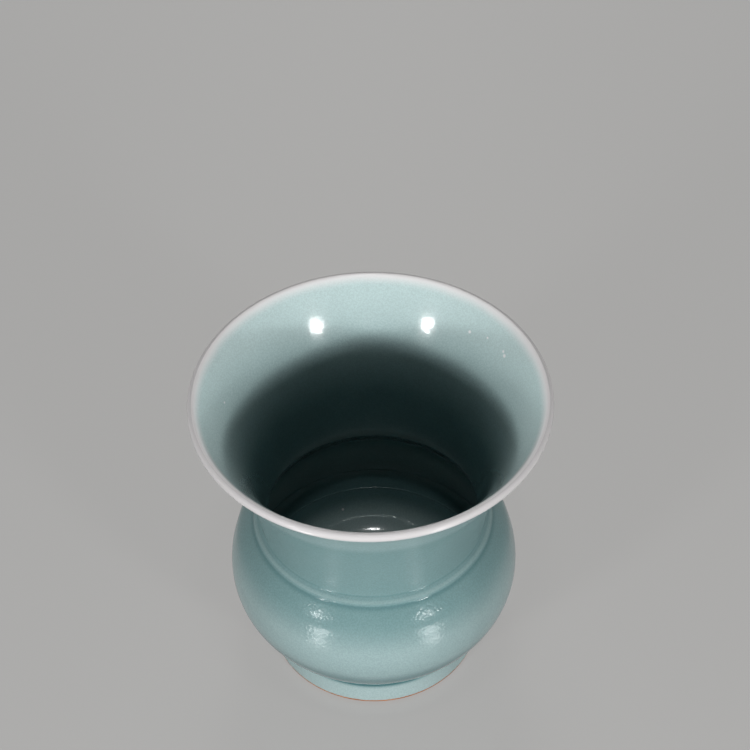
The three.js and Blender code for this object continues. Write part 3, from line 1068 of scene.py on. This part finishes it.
class LEYSJAR_OT_foot(bpy.types.Operator):
    """Turn the foot ring with its worn, bare rim"""

    bl_idname = "leysjar.foot"
    bl_label = "Foot Ring"

    def execute(self, context):
        sizes = context.scene.leysjar_sizes
        finish = context.scene.leysjar_finish
        section = Section(sizes)
        edge = sizes.foot_rim_round
        depth = section.clay_depth
        bare_depth = sizes.glaze / 2
        outer_edge = section.foot_wall(edge, bare_depth + edge)
        inner_edge = section.foot_bore(edge, edge - bare_depth)
        outline = joined(
            arc(outer_edge, edge, -math.pi / 2, 0.0),
            [section.foot_wall(sizes.bare_band - sizes.clearance, bare_depth)],
            [section.foot_wall(sizes.bare_band + sizes.glaze, depth)],
            [section.foot_wall(section.foot_ring_top, depth)],
            [section.foot_bore(section.foot_ring_top, 0.0)],
            arc(inner_edge, edge, math.pi, 1.5 * math.pi),
        )
        fine = even(np.vstack((outline, outline[:1])))
        keep = picked(fine, LONGEST_STEP, TURN_STEP)[:-1]
        material = clay_material(
            "burnt_stoneware", finish.burnt_clay, finish.burnt_speck, grain=1500, relief=0.05 * MM
        )
        stand_for(turned_piece("bare_foot", fine[keep], material), "foot_ring")
        return {"FINISHED"}


class LEYSJAR_OT_clay(bpy.types.Operator):
    """Turn the three clay sections under the glaze"""

    bl_idname = "leysjar.clay"
    bl_label = "Clay Sections"

    def execute(self, context):
        finish = context.scene.leysjar_finish
        section = Section(context.scene.leysjar_sizes)
        depth = section.clay_depth
        low_seat = section.seam_angle - section.seat_turn
        high_seat = section.seam_angle + section.seat_turn
        bowl = joined(
            [(0.0, section.base_underside), section.foot_wall(section.base_underside, depth)],
            [section.foot_corner(depth)],
            section.outer_lower_belly(depth, section.cone_angle, low_seat),
            section.inner_lower_belly(depth, low_seat, section.cone_angle),
            section.inner_floor(depth),
        )
        shoulder_top = section.shoulder_top
        shoulder = joined(
            section.outer_lower_belly(depth, high_seat, 0.0),
            section.outer_shoulder(depth, section.shoulder_angle(depth, shoulder_top)),
            section.throat(depth, section.throat_angle(depth, shoulder_top), section.throat_low_angle),
            section.inner_shoulder(depth),
            section.inner_lower_belly(depth, 0.0, high_seat),
        )
        neck_foot = section.throat_angle(depth, section.s.shoulder_height)
        neck = joined(
            section.collar(depth),
            section.outer_neck(depth),
            section.lip(depth),
            section.inner_neck(depth),
            section.throat(depth, section.throat_top_angle, neck_foot),
        )
        material = clay_material("stoneware", finish.clay, finish.clay_speck, grain=1200, relief=0.06 * MM)
        for name, node, outline in (
            ("clay_bowl", "lower_body", bowl),
            ("clay_shoulder", "upper_body", shoulder),
            ("clay_neck", "trumpet_neck", neck),
        ):
            stand_for(turned_piece(name, thinned(outline), material), node)
        return {"FINISHED"}


class LEYSJAR_OT_slip(bpy.types.Operator):
    """Turn the rings of slip that lute the clay sections together"""

    bl_idname = "leysjar.slip"
    bl_label = "Slip Rings"

    def execute(self, context):
        finish = context.scene.leysjar_finish
        section = Section(context.scene.leysjar_sizes)
        depth = section.clay_depth
        throat = section.s.throat_round - depth
        shoulder = section.shoulder_round - depth
        belt_outside = section.s.lower_belly_round - depth
        low = section.seam_angle - section.slip_turn
        high = section.seam_angle + section.slip_turn
        foot, top = section.foot_slip_foot, section.foot_slip_top
        foot_ring = joined(
            [section.foot_bore(foot, 0.0), section.foot_wall(foot, depth)],
            [section.foot_wall(top, depth), section.foot_bore(top, 0.0)],
        )
        belt = joined(
            [on_circle(section.lower_centre, section.belt_round, low)],
            arc(section.lower_centre, belt_outside, low, high),
            [on_circle(section.lower_centre, section.belt_round, high)],
        )
        foot, top = section.neck_slip_foot, section.neck_slip_top
        neck = joined(
            [on_circle(section.throat_centre, throat, section.throat_angle(depth, foot))],
            [on_circle(section.shoulder_centre, shoulder, section.shoulder_angle(depth, foot))],
            [(section.s.collar_diameter / 2 - depth, top)],
            [on_circle(section.throat_centre, throat, section.throat_angle(depth, top))],
        )
        material = clay_material("fired_slip", finish.slip, finish.slip_speck, grain=1800, relief=0.04 * MM)
        for name, node, outline in (
            ("slip_on_foot", "foot_slip", foot_ring),
            ("slip_in_belly", "belly_slip", belt),
            ("slip_under_neck", "neck_slip", neck),
        ):
            stand_for(turned_piece(name, outline, material), node)
        return {"FINISHED"}


class LEYSJAR_OT_outer_glaze(bpy.types.Operator):
    """Turn the glaze outside, from the bare band of the foot to the lip"""

    bl_idname = "leysjar.outer_glaze"
    bl_label = "Outer Glaze"

    def execute(self, context):
        sizes = context.scene.leysjar_sizes
        finish = context.scene.leysjar_finish
        section = Section(sizes)
        face, back, known = Coat(section).half(outside=True)
        bead = glaze_bead(section.foot_wall(sizes.bare_band, sizes.glaze / 2), sizes.glaze)
        outline = np.vstack((bead, face, back[::-1]))
        values = {label: np.pad(run, (len(bead), len(back)), "edge") for label, run in known.items()}
        material = glaze_material(
            "celadon_outside",
            finish,
            thick=finish.celadon,
            thin=finish.thin_celadon_and_painted_light,
            # The lip's outside is painted darker, as painted shade
            lip=finish.lip_outside_and_painted_shade,
            lip_band=(2.6 * MM, 5.0 * MM),
            thin_reach=8 * MM,
            pooling_share=1.0,
            roughness=0.19,
            relief=0.065 * MM,
            gloss=0.23,
            low_band=(10 * MM, 24 * MM),
            low_relief=0.6,
            low_dull=0.6,
        )
        piece = turned_piece("glaze_outside", outline, material, values)
        stand_for(piece, "outer_glaze")
        return {"FINISHED"}


class LEYSJAR_OT_inner_glaze(bpy.types.Operator):
    """Turn the glaze inside, from the lip to the inner floor"""

    bl_idname = "leysjar.inner_glaze"
    bl_label = "Inner Glaze"

    def execute(self, context):
        finish = context.scene.leysjar_finish
        section = Section(context.scene.leysjar_sizes)
        face, back, known = Coat(section).half(outside=False)
        outline = np.vstack((back[::-1], face))
        values = {label: np.pad(run, (len(back), 0), "edge") for label, run in known.items()}
        material = glaze_material(
            "celadon_inside",
            finish,
            # The dark inside colour and the long thin reach paint shade down the neck and into the hollow
            thick=finish.inner_celadon_and_painted_shade,
            thin=finish.flare_celadon_and_painted_light,
            lip=finish.lip_white,
            lip_band=(0.0, 4.8 * MM),
            thin_reach=48 * MM,
            pooling_share=0.6,
            roughness=0.10,
            relief=0.026 * MM,
            gloss=0.42,
            low_band=(30 * MM, 60 * MM),
            low_relief=0.2,
            veil=0.30,
        )
        piece = turned_piece("glaze_inside", outline, material, values)
        stand_for(piece, "inner_glaze")
        return {"FINISHED"}


class LEYSJAR_OT_base_glaze(bpy.types.Operator):
    """Turn the glaze under the base, rounded down the bore of the foot"""

    bl_idname = "leysjar.base_glaze"
    bl_label = "Base Glaze"

    def execute(self, context):
        sizes = context.scene.leysjar_sizes
        finish = context.scene.leysjar_finish
        section = Section(sizes)
        low = sizes.bare_band
        top = sizes.foot_recess
        back_depth = sizes.clearance
        face_depth = sizes.clearance + sizes.glaze
        corner = [section.foot_bore(top, face_depth), section.foot_bore(low, face_depth)]
        face = softened(even(joined([(0.0, top)], corner)), 3 * sizes.glaze_flow)
        away = np.einsum("ij,ij->i", softened(face, sizes.pooling_reach) - face, outward(face))
        keep = picked(face, LONGEST_STEP, TURN_STEP)
        bead = glaze_bead(section.foot_bore(low, back_depth + sizes.glaze / 2), sizes.glaze)
        back_top = top + sizes.glaze
        back_corner = [section.foot_bore(low, back_depth), section.foot_bore(back_top, back_depth)]
        back = joined(back_corner, [(0.0, back_top)])
        outline = np.vstack((face[keep], bead, back))
        pooling_and_painted_shade = np.clip(away / sizes.pooling_depth, -1.0, 1.0)[keep]
        values = {
            "pooling_and_painted_shade": np.concatenate((pooling_and_painted_shade, np.full(len(bead), -1.0), np.zeros(len(back)))),
            "lip_run": np.ones(len(outline)),
            "thinness_and_painted_light": np.full(len(outline), 0.3),
        }
        material = glaze_material(
            "celadon_base",
            finish,
            thick=finish.celadon,
            thin=finish.thin_celadon_and_painted_light,
            lip=finish.lip_outside_and_painted_shade,
            lip_band=(1.0 * MM, 2.0 * MM),
            thin_reach=2.0 * MM,
            pooling_share=0.7,
            roughness=0.28,
            relief=0.050 * MM,
            gloss=0.24,
            low_band=(0.0, 1.0 * MM),
        )
        piece = turned_piece("glaze_under_base", outline, material, values)
        stand_for(piece, "base_glaze")
        return {"FINISHED"}


# Strips of light on the floor: near end, far end and width in millimetres, and share of the brightness
STRIPS = ((125, 160, 20, 0.4), (160, 230, 34, 0.8), (230, 310, 54, 1.0))
STRIP_RISE = 2 * MM

# How far up, from 0 at the horizon to 1 overhead, the studio's light and its pale wall fade out
LIGHT_FADE = (0.1, 0.9)
WALL_FADE = (0.2, 0.6)

# Points along each side of the floor's grid
FLOOR_POINTS = 5

# The camera's sensor in millimetres, and the nearest and farthest that it sees in metres
SENSOR_WIDTH = 36.0
NEAREST = 0.01
FARTHEST = 100.0


def forward(swing):
    """The level direction from the jar to the front, turned to the right by the swing."""
    return Vector((math.sin(swing), -math.cos(swing), 0.0))


def upright(height):
    """A height as a vector."""
    return Vector((0.0, 0.0, height))


def area_lamp(name, shape, width, tall, power):
    """A lamp with an even, bright face."""
    light = bpy.data.lights.new(name, "AREA")
    light.shape = shape
    light.size = width
    light.size_y = tall
    light.energy = power
    lamp = bpy.data.objects.new(name, light)
    bpy.context.scene.collection.objects.link(lamp)
    return lamp


def add_lamp(name, width, tall, power, place_at, aim, mirrored=False):
    """A soft oval lamp that faces a point; the glaze reflects it only if it is mirrored."""
    lamp = area_lamp(name, "ELLIPSE", width, tall, power)
    lamp.location = place_at
    lamp.rotation_euler = (aim - place_at).to_track_quat("-Z", "Y").to_euler()
    lamp.visible_glossy = mirrored


def add_strips(name, stage, swing):
    """Strips of light on the floor that face up, widen away from the jar and show in the glaze alone."""
    for index, (near, far, width, share) in enumerate(STRIPS):
        across = width * MM
        along = (far - near) * MM
        power = math.pi * across * along * stage.strip_light * share
        strip = area_lamp(f"{name}_{index}", "RECTANGLE", across, along, power)
        strip.location = (near + far) / 2 * MM * forward(swing) + upright(STRIP_RISE)
        strip.rotation_euler = (math.pi, 0.0, swing)
        strip.visible_camera = False
        strip.visible_diffuse = False


def add_studio_light(stage):
    """A plain studio: its light is stronger near the horizon, and its wall is pale where it is seen."""
    world = bpy.data.worlds.new("studio")
    world.use_nodes = True
    tree = world.node_tree
    direction = place(tree, "ShaderNodeTexCoord").outputs["Generated"]
    upward = place(tree, "ShaderNodeSeparateXYZ", {"Vector": direction}).outputs["Z"]
    glow = eased(tree, upward, *LIGHT_FADE, stage.wall_light, stage.ceiling_light)
    pale = eased(tree, upward, *WALL_FADE, stage.backdrop, stage.ceiling_light)
    strength = eased(tree, looked_at(tree), 0.0, 1.0, glow, pale)
    backdrop = tree.nodes["Background"]
    backdrop.inputs["Color"].default_value = WHITE
    tree.links.new(strength, backdrop.inputs["Strength"])
    bpy.context.scene.world = world


def add_floor(stage):
    """A square floor under the jar: a grid of two parameters from corner to corner at height 0."""
    half = stage.floor_width / 2
    side = np.linspace(-half, half, FLOOR_POINTS)
    across, along = np.meshgrid(side, side)
    points = np.stack((across, along, np.zeros_like(across)), axis=-1).reshape(-1, 3)
    index = np.arange(FLOOR_POINTS**2).reshape(FLOOR_POINTS, FLOOR_POINTS)
    faces = np.stack((index[:-1, :-1], index[:-1, 1:], index[1:, 1:], index[1:, :-1]), axis=-1)
    mesh = bpy.data.meshes.new("floor")
    mesh.from_pydata(points.tolist(), [], faces.reshape(-1, 4).tolist())
    mesh.materials.append(floor_material(stage))
    floor = bpy.data.objects.new("floor", mesh)
    bpy.context.scene.collection.objects.link(floor)


def add_camera(stage):
    """The camera before the jar: pitched down from level, then turned and tilted about its own axes."""
    data = bpy.data.cameras.new("camera")
    data.sensor_width = SENSOR_WIDTH
    data.lens = stage.camera_lens / MM
    data.clip_start = NEAREST
    data.clip_end = FARTHEST
    camera = bpy.data.objects.new("camera", data)
    level = Matrix.Rotation(math.pi / 2 - stage.camera_pitch, 4, "X")
    turned = Matrix.Rotation(-stage.camera_yaw, 4, "Y") @ Matrix.Rotation(stage.camera_roll, 4, "Z")
    stand = Matrix.Translation((0.0, -stage.camera_back, stage.camera_height))
    camera.matrix_world = stand @ level @ turned
    bpy.context.scene.collection.objects.link(camera)
    bpy.context.scene.camera = camera


class LEYSJAR_OT_stage(bpy.types.Operator):
    """Set the floor, the lights and the camera"""

    bl_idname = "leysjar.stage"
    bl_label = "Studio"

    def execute(self, context):
        stage = context.scene.leysjar_stage
        aim = upright(context.scene.leysjar_sizes.height / 2)
        lamp_face = (stage.lamp_width, stage.lamp_tall, stage.lamp_power)
        shade_face = (stage.shade_width, stage.shade_tall, stage.shade_power)
        for name, swing in (("left_lamp", -stage.left_swing), ("right_lamp", stage.right_swing)):
            foot = stage.lamp_distance * forward(swing)
            add_lamp(name, *lamp_face, foot + upright(stage.lamp_height), aim, mirrored=True)
            add_lamp(name + "_shade", *shade_face, foot + upright(stage.shade_height), aim)
            add_strips(name + "_strip", stage, math.copysign(stage.strip_swing, swing))
        fill_at = stage.lamp_distance * forward(0.0) + upright(stage.shade_height)
        add_lamp("fill", stage.shade_width, stage.shade_tall, stage.fill_power, fill_at, aim)
        back_face = (stage.back_width, stage.back_width, stage.back_power)
        rear_face = (stage.rear_width, stage.rear_width, stage.rear_power)
        spark_face = (stage.spark_width, stage.spark_tall, stage.spark_power)
        for name, face, distance, lean, mirrored in (
            ("back_light", back_face, stage.back_distance, -stage.back_lean, False),
            ("rear", rear_face, stage.rear_distance, -stage.rear_lean, False),
            ("spark", spark_face, stage.spark_distance, stage.spark_lean, True),
        ):
            above = distance * (math.sin(lean) * forward(0.0) + upright(math.cos(lean)))
            add_lamp(name, *face, aim + above, aim, mirrored)
        add_studio_light(stage)
        add_floor(stage)
        add_camera(stage)
        context.scene.view_settings.view_transform = "Standard"
        return {"FINISHED"}


class LEYSJAR_PT_panel(bpy.types.Panel):
    """Lists the steps and the sizes of the jar"""

    bl_idname = "LEYSJAR_PT_panel"
    bl_label = "Leys Jar"
    bl_space_type = "VIEW_3D"
    bl_region_type = "UI"
    bl_category = "Leys Jar"

    def draw(self, context):
        layout = self.layout
        scene = context.scene
        for step in STEPS:
            layout.operator(step.bl_idname)
        for group in (scene.leysjar_sizes, scene.leysjar_finish, scene.leysjar_stage):
            box = layout.box()
            for label in group.__annotations__:
                box.prop(group, label)


PROPERTIES = (JarSizes, JarFinish, JarStage)
STEPS = (
    LEYSJAR_OT_foot,
    LEYSJAR_OT_clay,
    LEYSJAR_OT_slip,
    LEYSJAR_OT_outer_glaze,
    LEYSJAR_OT_inner_glaze,
    LEYSJAR_OT_base_glaze,
    LEYSJAR_OT_stage,
)
CLASSES = (*PROPERTIES, *STEPS, LEYSJAR_PT_panel)


def register():
    """Adds the classes, and the jar's properties to every scene."""
    for cls in CLASSES:
        bpy.utils.register_class(cls)
    bpy.types.Scene.leysjar_sizes = PointerProperty(type=JarSizes)
    bpy.types.Scene.leysjar_finish = PointerProperty(type=JarFinish)
    bpy.types.Scene.leysjar_stage = PointerProperty(type=JarStage)


def unregister():
    """Takes away what register has added."""
    del bpy.types.Scene.leysjar_stage
    del bpy.types.Scene.leysjar_finish
    del bpy.types.Scene.leysjar_sizes
    for cls in reversed(CLASSES):
        bpy.utils.unregister_class(cls)


def check_sizes(sizes):
    """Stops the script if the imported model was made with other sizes."""
    wide = sizes.mouth_diameter
    for found, expected in zip(CAD_BOX[1] - CAD_BOX[0], (wide, wide, sizes.height)):
        if abs(found - expected) > FACET_SLACK:
            raise ValueError(f"the packed model measures {found:.4f} m, and the sizes say {expected:.4f} m")


def main():
    """Makes the jar and its studio."""
    register()
    check_sizes(bpy.context.scene.leysjar_sizes)
    bpy.ops.leysjar.foot()
    bpy.ops.leysjar.clay()
    bpy.ops.leysjar.slip()
    bpy.ops.leysjar.outer_glaze()
    bpy.ops.leysjar.inner_glaze()
    bpy.ops.leysjar.base_glaze()
    bpy.ops.leysjar.stage()


if __name__ == "__main__":
    main()
